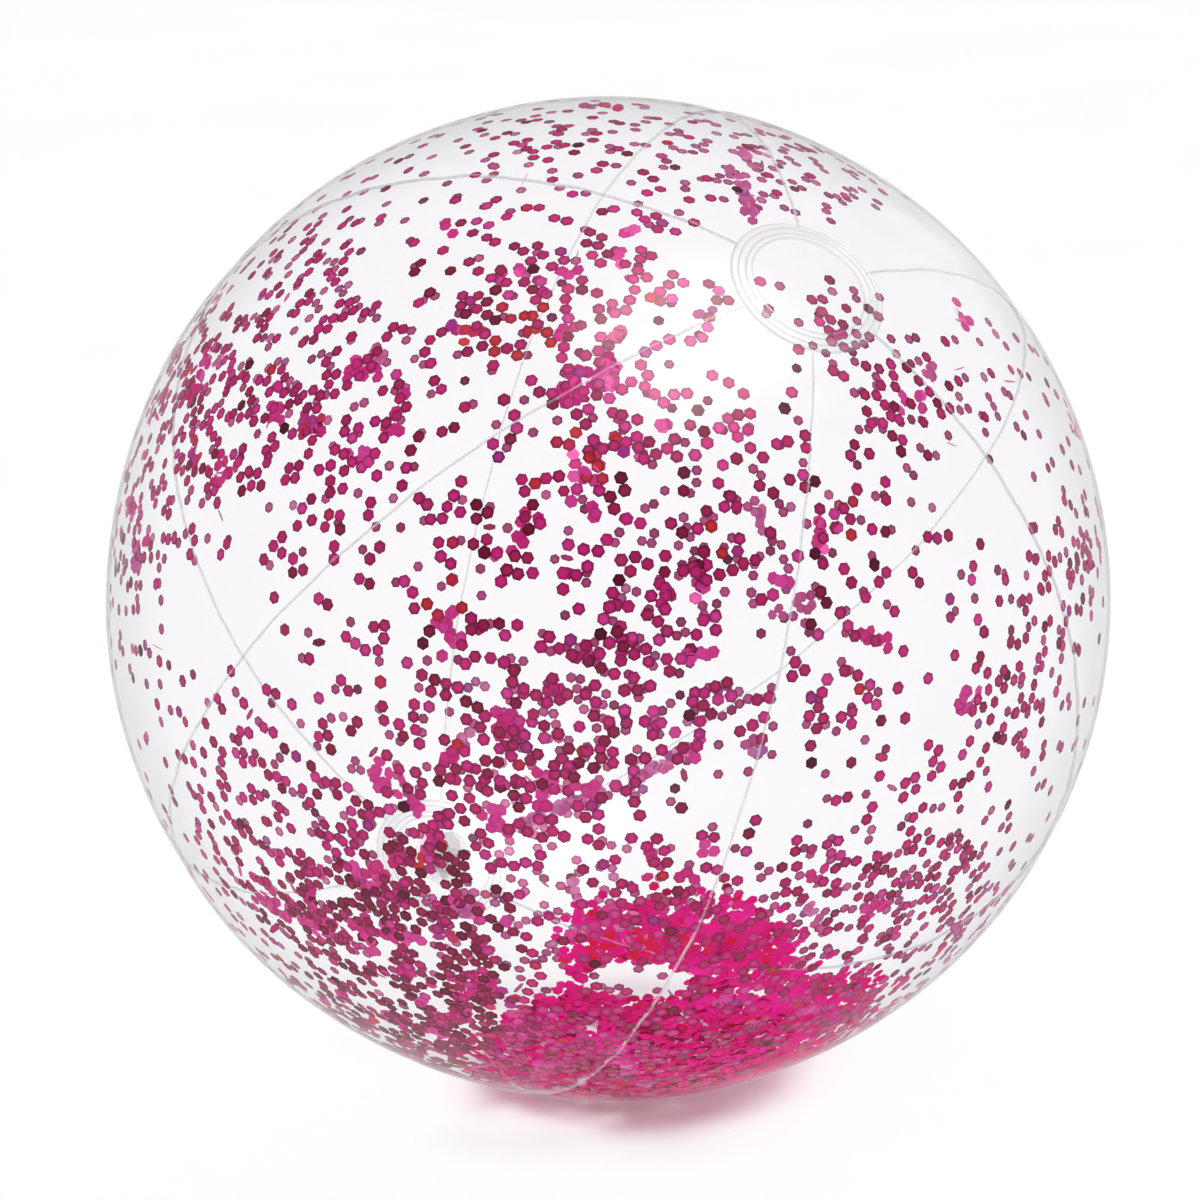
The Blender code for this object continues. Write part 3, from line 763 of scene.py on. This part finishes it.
def flake_mesh(name, rows, dullness=1.0, look=None):
    """One mesh of many six-sided flakes. A row is centre, normal, turn in its plane, size, tint, and how dark its cut edge is."""
    centre = np.array([r[0] for r in rows])
    normal = np.array([r[1] for r in rows])
    normal /= np.linalg.norm(normal, axis=1)[:, None]
    turn = np.array([r[2] for r in rows])
    size = np.array([r[3] for r in rows])
    tint = np.array([r[4] for r in rows], np.float32)
    cut = np.array([r[5] for r in rows], np.float32)
    helper = np.where(np.abs(normal[:, 2:3]) < 0.9, np.array([[0, 0, 1.0]]), np.array([[1.0, 0, 0]]))
    t = np.cross(helper, normal)
    t /= np.linalg.norm(t, axis=1)[:, None]
    b = np.cross(normal, t)
    count = len(rows)
    corner = turn[:, None] + np.arange(6) * math.pi / 3
    spread = (np.cos(corner)[..., None] * t[:, None] + np.sin(corner)[..., None] * b[:, None])
    spread = spread * (size / 2)[:, None, None]
    half = (FLAKE_THICK / 2) * normal[:, None]
    ring = centre[:, None] + spread
    points = np.concatenate([
        centre[:, None] + half, ring + half, centre[:, None] - half, ring - half,
    ], axis=1)
    faces = []
    for i in range(count):
        o = 14 * i
        for k in range(6):
            l = (k + 1) % 6
            faces.append((o, o + 1 + k, o + 1 + l))
        for k in range(6):
            l = (k + 1) % 6
            faces.append((o + 7, o + 8 + l, o + 8 + k))
        for k in range(6):
            l = (k + 1) % 6
            faces.append((o + 1 + k, o + 8 + k, o + 8 + l, o + 1 + l))
    mesh = bpy.data.meshes.new(name)
    mesh.from_pydata([tuple(p) for p in points.reshape(-1, 3)], [], faces)
    mesh.materials.append(look or flake_look)
    mesh.attributes.new("tint", "FLOAT", "POINT").data.foreach_set("value", np.repeat(tint, 14))
    edge = np.tile(np.array([0.0] + [1.0] * 6 + [0.0] + [1.0] * 6, np.float32), count) * np.repeat(cut, 14)
    mesh.attributes.new("edge", "FLOAT", "POINT").data.foreach_set("value", edge)
    reverse = np.tile(np.array([0.0] * 6 + [1.0] * 6 + [0.5] * 6, np.float32), count) * dullness
    mesh.attributes.new("reverse", "FLOAT", "FACE").data.foreach_set("value", reverse)
    mesh.shade_flat()
    made = bpy.data.objects.new(name, mesh)
    bpy.context.scene.collection.objects.link(made)
    return made


def keep_inside(centre, normal, size, clearance):
    """Moves flakes inwards until all their corners clear the film."""
    centre, normal = np.array(centre), np.array(normal)
    size = np.asarray(size)
    normal = normal / np.linalg.norm(normal, axis=1)[:, None]
    helper = np.where(np.abs(normal[:, 2:3]) < 0.9, np.array([[0, 0, 1.0]]), np.array([[1.0, 0, 0]]))
    t = np.cross(helper, normal)
    t /= np.linalg.norm(t, axis=1)[:, None]
    b = np.cross(normal, t)
    for _ in range(3):
        worst = np.full(len(centre), -1.0)
        for k in range(12):
            a = k * math.pi / 6
            p = centre + (math.cos(a) * t + math.sin(a) * b) * (size / 2)[:, None] - C
            r = np.linalg.norm(p, axis=1)
            polar, turn = angles(p / r[:, None])
            limit = film_radius(polar, turn, FILM + FLAKE_THICK / 2 + clearance)
            worst = np.maximum(worst, r - limit)
        towards = centre - C
        towards /= np.linalg.norm(towards, axis=1)[:, None]
        centre = centre - towards * np.maximum(worst, 0.0)[:, None]
    return centre


PILES = 190


def panel_at(d):
    polar, about = angles(d)
    return int(((about - SEAM_PHASE + 2 * HALF) // (2 * HALF)) % PANELS)


def cling_rows():
    """All clinging flakes, as rows for flake_mesh, with the panel each lies on."""
    grown = Flakes(365)
    grown.grow(9000, 100000)
    rng = random.Random(77)
    centre, normal, turn, size, tint, cut, panel = [], [], [], [], [], [], []

    def lay(d, layer, shade, edge):
        t, b = local_axes(d)
        tilt = rng.gauss(0.0, 0.03) + 0.09 * layer * rng.uniform(0.3, 1.0)
        way = rng.uniform(0, 2 * math.pi)
        if rng.random() < 0.010:
            tilt = rng.uniform(0.9, 1.35)
        centre.append(C + d * (R - FILM - 0.00012 - 0.00016 * layer))
        normal.append(d * math.cos(tilt) + (t * math.cos(way) + b * math.sin(way)) * math.sin(tilt))
        turn.append(rng.uniform(0, math.pi / 3))
        size.append(FLAKE * rng.gauss(1.0, 0.025))
        tint.append(shade)
        cut.append(edge)
        panel.append(panel_at(d))

    for point, layer in zip(grown.at, grown.layer):
        d = np.array(point) / R
        u, v, is_near = to_view(d)
        lay(d, layer, tint_of(rng, u, v, is_near), rng.uniform(0.80, 1.0))
    # small piles, where flakes lie over one another
    piles = 0
    while piles < PILES:
        z = rng.uniform(-1, 1)
        a = rng.uniform(0, 2 * math.pi)
        flat = math.sqrt(1 - z * z)
        d0 = np.array((flat * math.cos(a), flat * math.sin(a), z))
        u, v, is_near = to_view(d0)
        want = cover(u, v, is_near)
        if d0[2] < -0.98 or rng.random() > want * want * 2.0:
            continue
        piles += 1
        t, b = local_axes(d0)
        many = rng.choice((3, 4, 5, 6, 8, 11))
        long = rng.uniform(1.0, 2.6)
        lie = rng.uniform(0, math.pi)
        shade = rng.choice((0.60, 0.66, 0.72, 0.78)) if rng.random() < 0.9 else 0.97
        for layer in range(many):
            x = rng.gauss(0, 0.30) * FLAKE * long * math.sqrt(many / 4)
            y = rng.gauss(0, 0.30) * FLAKE * math.sqrt(many / 4)
            d = d0 + ((x * math.cos(lie) - y * math.sin(lie)) * t + (x * math.sin(lie) + y * math.cos(lie)) * b) / R
            d /= np.linalg.norm(d)
            lay(d, 1 + min(layer, 5), shade + rng.uniform(-0.05, 0.05), rng.uniform(0.40, 0.75))
    centre = keep_inside(centre, normal, size, 0.00003)
    return list(zip(centre, normal, turn, size, tint, cut)), panel


def drift_rows():
    """Flakes caught on the upper side of the weld fins inside, in short thin drifts."""
    rng = random.Random(91)
    spots = []
    # right, up of each end, on the far wall
    for a, b, amount in (
        ((-0.19, -0.46), (-0.02, -0.38), 60), ((0.05, -0.36), (0.17, -0.29), 40),
        ((0.25, 0.86), (0.29, 0.76), 34), ((-0.32, -0.60), (-0.26, -0.62), 60),
    ):
        for _ in range(amount):
            f = rng.random()
            u = a[0] + f * (b[0] - a[0]) + rng.gauss(0, 0.004)
            v = a[1] + f * (b[1] - a[1]) + rng.gauss(0, 0.006)
            spots.append((u, v))
    centre, normal, turn, size, tint = [], [], [], [], []
    for u, v in spots:
        x, y = u * R * 1.008 / DISTANCE, v * R * 1.008 / DISTANCE
        ray = x * RIGHT + y * UP - BACK
        ray = ray / np.linalg.norm(ray)
        start = DISTANCE * BACK
        half_b = start @ ray
        reach = -half_b + math.sqrt(half_b ** 2 - (DISTANCE ** 2 - (R - 0.002) ** 2))
        p = start + reach * ray
        d = p / np.linalg.norm(p)
        t, b = local_axes(d)
        tilt = rng.uniform(0.1, 1.0)
        way = rng.uniform(0, 2 * math.pi)
        centre.append(C + d * (R - FILM - 0.0006 - rng.uniform(0, 0.0022)))
        normal.append(d * math.cos(tilt) + (t * math.cos(way) + b * math.sin(way)) * math.sin(tilt))
        turn.append(rng.uniform(0, math.pi / 3))
        size.append(FLAKE * rng.gauss(1.0, 0.025))
        tint.append(rng.choice((0.6, 0.66, 0.72, 0.8, 1.0)))
    centre = keep_inside(centre, normal, size, 0.00003)
    return list(zip(centre, normal, turn, size, tint, [0.5] * len(centre)))


# Gaps in the loose heap, as seen from the camera: right, up, half width, half height in ball radii
HEAP_GAPS = ((0.055, -0.762, 0.105, 0.040), (-0.036, -0.848, 0.024, 0.020), (0.24, -0.785, 0.022, 0.012), (0.30, -0.785, 0.036, 0.010))


def heap_rows():
    """Loose flakes lying on the lowest part of the inner wall, several deep in the middle."""
    rng = random.Random(12)
    lean = np.array((0.0, 0.0, -1.0)) + 0.11 * RIGHT - 0.05 * BACK
    lean /= np.linalg.norm(lean)
    t, b = local_axes(lean)
    centre, normal, turn, size, tint = [], [], [], [], []
    while len(centre) < 4600:
        a = math.radians(33.0) * math.sqrt(rng.random())
        way = rng.uniform(0, 2 * math.pi)
        edge = 25.5 + 5.0 * math.sin(2 * way + 0.8) + 3.0 * math.sin(5 * way + 2.0)
        d = lean * math.cos(a) + (t * math.cos(way) + b * math.sin(way)) * math.sin(a)
        u, v, is_near = to_view(d)
        # the heap reaches a little further up on one side
        if not is_near:
            edge += 7.0 * max(0.0, 1.0 - ((u - 0.28) / 0.17) ** 2 - ((v + 0.70) / 0.14) ** 2)
        if math.degrees(a) > edge + rng.gauss(0, 2.5):
            continue
        if any(((u - x) / w) ** 2 + ((v - y) / h) ** 2 < rng.uniform(0.8, 1.2) for x, y, w, h in HEAP_GAPS):
            continue
        if u < -0.36 + 0.28 * min(1.0, max(0.0, (v + 0.93) / 0.15)) + rng.gauss(0, 0.015):
            continue
        deep = max(0.0, 1.0 - (math.degrees(a) / edge) ** 2)
        tt, bb = local_axes(d)
        tilt = abs(rng.gauss(0.0, 0.10 + 0.22 * deep))
        spin = rng.uniform(0, 2 * math.pi)
        up = d * math.cos(tilt) + (tt * math.cos(spin) + bb * math.sin(spin)) * math.sin(tilt)
        if rng.random() < 0.5:
            up = -up
        centre.append(C + d * (R - FILM - 0.0002 - (0.0005 + 0.0032 * deep) * rng.random()))
        normal.append(up)
        turn.append(rng.uniform(0, math.pi / 3))
        size.append(FLAKE * rng.gauss(1.0, 0.025))
        pick = rng.random()
        drift = noise.noise(Vector(d) * 9.0) + 0.5 * noise.noise(Vector(d) * 23.0)
        red = max(0.0, 1.0 - ((u - 0.06) / 0.14) ** 2 - ((v + 0.70) / 0.06) ** 2)
        if pick < 0.05:
            tint.append(rng.uniform(0.12, 0.30))
        elif pick < 0.08 + 0.45 * red:
            tint.append(rng.uniform(0.865, 0.90))
        else:
            tint.append(min(0.78, max(0.46, 0.62 + 0.20 * drift + rng.gauss(0, 0.02))))
    centre = keep_inside(centre, normal, size, 0.00003)
    cut = [rng.uniform(0.0, 0.26) for _ in centre]
    return list(zip(centre, normal, turn, size, tint, cut))


# ---------------------------------------------------------------- the ball

for index in range(PANELS):
    piece = panel_object(index)
    piece.visible_shadow = False
    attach(piece, "ball")
    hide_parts(f"panel_{index + 1}")

front_disc = lathe("front_end_disc", disc_profile(0.0), front_frame, [disc_look, ring_look, margin_look], 144, ring_slot, 50.0)
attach(front_disc, "ball")
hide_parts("front_disc")
rear_disc = lathe("rear_end_disc", disc_profile(HOLE), rear_frame, [disc_look, ring_look, margin_look], 144, ring_slot, 50.0)
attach(rear_disc, "ball")
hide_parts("rear_disc")

rows, panel_of = cling_rows()
drifts = drift_rows()
for row in drifts:
    rows.append(row)
    panel_of.append(panel_at((row[0] - C) / np.linalg.norm(row[0] - C)))
for index in range(PANELS):
    own = [row for row, panel in zip(rows, panel_of) if panel == index]
    low = [row for row in own if (row[0] - C)[2] < -0.87 * R]
    for label, part in (("clinging", [row for row in own if (row[0] - C)[2] >= -0.87 * R]), ("low_clinging", low)):
        if not part:
            continue
        piece = flake_mesh(f"{label}_flakes_{index + 1}", part)
        piece.visible_shadow = part is low
        piece.visible_diffuse = part is low
        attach(piece, "ball")
        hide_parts(f"glitter_cling_{index + 1}")
heaped = heap_rows()
middle = [row for row in heaped if np.linalg.norm((row[0] - C)[:2]) < 0.38 * R]
for label, part in (("loose_flake_heap", middle), ("loose_flake_heap_edge", [row for row in heaped if np.linalg.norm((row[0] - C)[:2]) >= 0.38 * R])):
    heap = flake_mesh(label, part, 0.06, pile_look)
    heap.visible_shadow = part is middle
    heap.visible_diffuse = part is middle
    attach(heap, "ball")
    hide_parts("glitter_heap")


# ---------------------------------------------------------------- valve

def sag(rho):
    return rho ** 2 / (2 * R)


COLLAR_IN = 0.0052
flange = lathe("valve_base", rounded([
    (COLLAR_IN, 0.0),
    (0.0062, 0.00025),
    (0.0075, 0.0),
    (0.0098, -sag(0.0098)),
    (0.0140, -sag(0.0140)),
    (0.0140, -sag(0.0140) - 0.0006),
    (0.0098, -sag(0.0098) - 0.0006),
    (0.0072, -sag(0.0072) - 0.0008),
    (0.0062, -0.0017),
    (0.0062, -0.0050),
    (COLLAR_IN, -0.0050),
], 0.0003, 4), valve_frame, [flange_look], 96, None, 50.0)
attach(flange, "ball")
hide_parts("valve_flange")

stem = lathe("valve_tube", rounded([
    (0.0033, 0.0019),
    (0.0049, 0.0019),
    (0.0049, -0.0060),
    (0.00475, -0.0065),
    (0.00475, -0.0150),
    (0.0049, -0.0156),
    (0.0064, -0.0158),
    (0.0064, -0.0170),
    (0.0033, -0.0170),
], 0.00035, 5), valve_frame, [stem_look], 96, None, 50.0)
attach(stem, "valve")
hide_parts("valve_stem")


def outline_plate(name, outline, low, high, matrix, look, bevel):
    """A flat plate from an outline in the XY plane, with rounded edges."""
    import bmesh
    bm = bmesh.new()
    base = [bm.verts.new((x, y, low)) for x, y in outline]
    face = bm.faces.new(base)
    grown = bmesh.ops.extrude_face_region(bm, geom=[face])
    for v in grown["geom"]:
        if isinstance(v, bmesh.types.BMVert):
            v.co.z = high
    bmesh.ops.recalc_face_normals(bm, faces=bm.faces)
    rim = [e for e in bm.edges if len(e.link_faces) == 2 and e.calc_face_angle() > 1.0]
    bmesh.ops.bevel(bm, geom=rim, offset=bevel, segments=3, profile=0.5, affect="EDGES")
    bm.transform(matrix)
    mesh = bpy.data.meshes.new(name)
    bm.to_mesh(mesh)
    bm.free()
    mesh.materials.append(look)
    mesh.shade_smooth()
    mesh.set_sharp_from_angle(angle=math.radians(50))
    made = bpy.data.objects.new(name, mesh)
    bpy.context.scene.collection.objects.link(made)
    return made


def join(first, others):
    """Unites closed meshes into one."""
    for other in others:
        mod = first.modifiers.new("Join", "BOOLEAN")
        mod.operation = "UNION"
        mod.solver = "EXACT"
        mod.object = other
    graph = bpy.context.evaluated_depsgraph_get()
    graph.update()
    mesh = bpy.data.meshes.new_from_object(first.evaluated_get(graph))
    first.modifiers.clear()
    first.data = mesh
    mesh.shade_smooth()
    mesh.set_sharp_from_angle(angle=math.radians(45))
    for other in others:
        bpy.data.objects.remove(other, do_unlink=True)
    return first


HEAD_LOW = 0.0022
plug = lathe("valve_stopper", rounded([
    (0.0, HEAD_LOW + 0.0016),
    (0.0022, HEAD_LOW + 0.00155),
    (0.0040, HEAD_LOW + 0.00135),
    (0.0054, HEAD_LOW + 0.0008),
    (0.0054, HEAD_LOW),
    (0.0030, HEAD_LOW),
    (0.0030, HEAD_LOW - 0.0024),
    (0.0031, HEAD_LOW - 0.0028),
    (0.0030, HEAD_LOW - 0.0032),
    (0.0030, HEAD_LOW - 0.0053),
    (0.0024, HEAD_LOW - 0.0059),
    (0.0, HEAD_LOW - 0.0059),
], 0.0003, 4), valve_frame, [plug_look], 80, None, 50.0)
tab = outline_plate("tab_tool", [
    (-0.0030, 0.0021), (-0.0052, 0.0022), (-0.0064, 0.0025),
] + [
    (-0.0065 - 0.0025 * math.sin(a), 0.0025 * math.cos(a)) for a in np.linspace(0.15, math.pi - 0.15, 15)
] + [
    (-0.0064, -0.0025), (-0.0052, -0.0022), (-0.0030, -0.0021),
], HEAD_LOW, HEAD_LOW + 0.0009, valve_frame, plug_look, 0.0002)
ribs = [
    outline_plate(f"rib_tool_{i}", [
        (x - 0.00014, -0.0014), (x + 0.00014, -0.0014), (x + 0.00014, 0.0014), (x - 0.00014, 0.0014),
    ], HEAD_LOW + 0.0004, HEAD_LOW + 0.00112, valve_frame, plug_look, 0.0001)
    for i, x in enumerate((-0.0079, -0.0072, -0.0065))
]
plug = join(plug, [tab] + ribs)
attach(plug, "stopper")
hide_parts("valve_plug")

flap_level = -0.0176
flap = outline_plate("inner_check_flap", [
    (0.0056 + 0.0003, 0.0020), (0.0056 + 0.0003, -0.0020), (0.0030, -0.0026),
] + [
    (0.0044 * math.sin(a), -0.0044 * math.cos(a)) for a in np.linspace(-0.62, -math.pi + 0.62, 29)
] + [(0.0030, 0.0026)], flap_level - 0.0003, flap_level + 0.0003, valve_frame, flap_look, 0.00012)
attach(flap, "flap")
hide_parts("check_flap")

tie = lathe("stopper_tether", rounded([
    (0.0052, 0.0016), (0.0067, 0.0016), (0.0067, 0.0009), (0.0052, 0.0009),
], 0.0002, 3), valve_frame, [tether_look], 96, None, 50.0)
path = [(0.0060, 0.00125), (0.0080, 0.00125), (0.0095, 0.00125)]
path += [(0.00955 + 0.00085 * math.sin(a), 0.0021 - 0.00085 * math.cos(a)) for a in np.linspace(0.15, math.pi - 0.15, 9)]
path += [(0.0093, 0.00295), (0.0075, 0.00295), (0.0057, 0.00295)]
strap_points, strap_faces = [], []
for i, (x, z) in enumerate(path):
    x0, z0 = path[max(i - 1, 0)]
    x1, z1 = path[min(i + 1, len(path) - 1)]
    along = np.array((x1 - x0, z1 - z0))
    along /= np.linalg.norm(along)
    across = np.array((-along[1], along[0])) * 0.00033
    for y, q in ((-0.0012, 0.7), (-0.0010, 1.0), (0.0010, 1.0), (0.0012, 0.7)):
        strap_points.append((x + across[0] * q, y, z + across[1] * q))
    for y, q in ((0.0012, 0.7), (0.0010, 1.0), (-0.0010, 1.0), (-0.0012, 0.7)):
        strap_points.append((x - across[0] * q, y, z - across[1] * q))
for i in range(len(path) - 1):
    for k in range(8):
        l = (k + 1) % 8
        strap_faces.append((8 * i + k, 8 * i + l, 8 * i + 8 + l, 8 * i + 8 + k))
strap_faces.append(tuple(range(7, -1, -1)))
strap_faces.append(tuple(8 * (len(path) - 1) + k for k in range(8)))
strap = mesh_object("strap_tool", [valve_frame @ Vector(p) for p in strap_points], strap_faces, [tether_look])
outward(strap)
tie = join(tie, [strap])
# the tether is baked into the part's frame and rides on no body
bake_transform(tie)
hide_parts("plug_tether")


# ---------------------------------------------------------------- studio

n = Nodes("studio_floor")
paper = n.add("ShaderNodeBsdfPrincipled", Roughness=0.75)
paper.inputs["Specular IOR Level"].default_value = 0.1
soft = n.noise(3.0, 3.0, 0.5)
n.link(n.ramp(soft, [(0.3, (0.90, 0.90, 0.90)), (0.7, (0.92, 0.92, 0.92))]), paper.inputs["Base Color"])
paper.inputs["Emission Color"].default_value = (1.0, 1.0, 1.0, 1.0)
paper.inputs["Emission Strength"].default_value = 0.20
floor_look = n.finish(paper.outputs[0])
floor = mesh_object("floor", [(-30, -30, -0.0001), (30, -30, -0.0001), (30, 30, -0.0001), (-30, 30, -0.0001)], [(0, 1, 2, 3)], [floor_look])

world = bpy.data.worlds.new("studio")
bpy.context.scene.world = world
world.use_nodes = True
w = world.node_tree
w.nodes.clear()
coord = w.nodes.new("ShaderNodeTexCoord")
# the studio is dim where the camera stands
towards = w.nodes.new("ShaderNodeVectorMath")
towards.operation = "DOT_PRODUCT"
towards.inputs[1].default_value = tuple(BACK)
w.links.new(coord.outputs["Generated"], towards.inputs[0])
dim = w.nodes.new("ShaderNodeMapRange")
dim.interpolation_type = "SMOOTHSTEP"
dim.inputs["From Min"].default_value = 0.60
dim.inputs["From Max"].default_value = 0.92
dim.inputs["To Min"].default_value = 1.0
dim.inputs["To Max"].default_value = 0.22
w.links.new(towards.outputs["Value"], dim.inputs["Value"])
split = w.nodes.new("ShaderNodeSeparateXYZ")
w.links.new(coord.outputs["Generated"], split.inputs[0])
lift = w.nodes.new("ShaderNodeMapRange")
lift.inputs["From Min"].default_value = -1.0
lift.inputs["From Max"].default_value = 1.0
w.links.new(split.outputs["Z"], lift.inputs["Value"])
sky = w.nodes.new("ShaderNodeValToRGB")
stops = [(0.0, 1.0), (0.50, 1.04), (0.55, 0.96), (0.59, 0.48), (0.66, 0.42), (0.80, 0.36), (1.0, 0.60)]
while len(sky.color_ramp.elements) < len(stops):
    sky.color_ramp.elements.new(0.5)
for point, (at, level) in zip(sky.color_ramp.elements, stops):
    point.position = at
    point.color = (level, level, level, 1.0)
w.links.new(lift.outputs["Result"], sky.inputs[0])
light = w.nodes.new("ShaderNodeBackground")
w.links.new(sky.outputs[0], light.inputs["Color"])
w.links.new(dim.outputs["Result"], light.inputs["Strength"])
# behind the ball there is plain white paper; the light and the reflections come from the sky above
behind = w.nodes.new("ShaderNodeBackground")
behind.inputs["Color"].default_value = (1.0, 1.0, 1.0, 1.0)
behind.inputs["Strength"].default_value = 1.0
path_kind = w.nodes.new("ShaderNodeLightPath")
seen = w.nodes.new("ShaderNodeMixShader")
w.links.new(path_kind.outputs["Is Camera Ray"], seen.inputs[0])
w.links.new(light.outputs[0], seen.inputs[1])
w.links.new(behind.outputs[0], seen.inputs[2])
surface = w.nodes.new("ShaderNodeOutputWorld")
w.links.new(seen.outputs[0], surface.inputs["Surface"])


def softbox(name, direction, distance, width, height, radiance):
    direction = direction / np.linalg.norm(direction)
    data = bpy.data.lights.new(name, "AREA")
    data.shape = "RECTANGLE"
    data.size, data.size_y = width, height
    data.energy = radiance * math.pi * width * height
    lamp = bpy.data.objects.new(name, data)
    bpy.context.scene.collection.objects.link(lamp)
    lamp.location = Vector(C + direction * distance)
    lamp.rotation_mode = "QUATERNION"
    lamp.rotation_quaternion = Vector(direction).to_track_quat("Z", "Y")
    lamp.visible_camera = False
    return lamp


for lamp in (
    softbox("key", 0.280 * RIGHT + 0.830 * UP + 0.480 * BACK, 2.4, 1.6, 1.3, 12.5),
    softbox("rim", 0.572 * RIGHT + 0.546 * UP - 0.61 * BACK, 2.6, 1.0, 0.8, 3.0),
):
    lamp.visible_diffuse = False
overhead_data = bpy.data.lights.new("overhead", "SUN")
overhead_data.energy = 1.47
overhead_data.cycles.use_multiple_importance_sampling = False
overhead_data.angle = math.radians(90.0)
overhead = bpy.data.objects.new("overhead", overhead_data)
bpy.context.scene.collection.objects.link(overhead)
overhead.location = (0.0, 0.0, 3.0)
overhead.rotation_mode = "QUATERNION"
overhead.rotation_quaternion = Vector(np.array((0.0, 0.0, 1.0)) - 0.04 * BACK).to_track_quat("Z", "Y")
overhead.visible_glossy = False
overhead.visible_camera = False

scene = bpy.context.scene
scene.view_settings.view_transform = "Standard"
scene.view_settings.look = "None"
scene.cycles.transparent_max_bounces = 32
scene.cycles.max_bounces = 8
scene.cycles.diffuse_bounces = 2
scene.cycles.glossy_bounces = 3

camera_data = bpy.data.cameras.new("camera")
camera = bpy.data.objects.new("camera", camera_data)
scene.collection.objects.link(camera)
camera_data.lens = LENS
camera_data.sensor_width = 36.0
camera_data.clip_end = 200.0
aim = Vector(C - 0.0037 * RIGHT - 0.0005 * UP)
camera.location = aim + DISTANCE * Vector(BACK)
camera.rotation_mode = "QUATERNION"
camera.rotation_quaternion = (-Vector(BACK)).to_track_quat("-Z", "Y")
scene.camera = camera
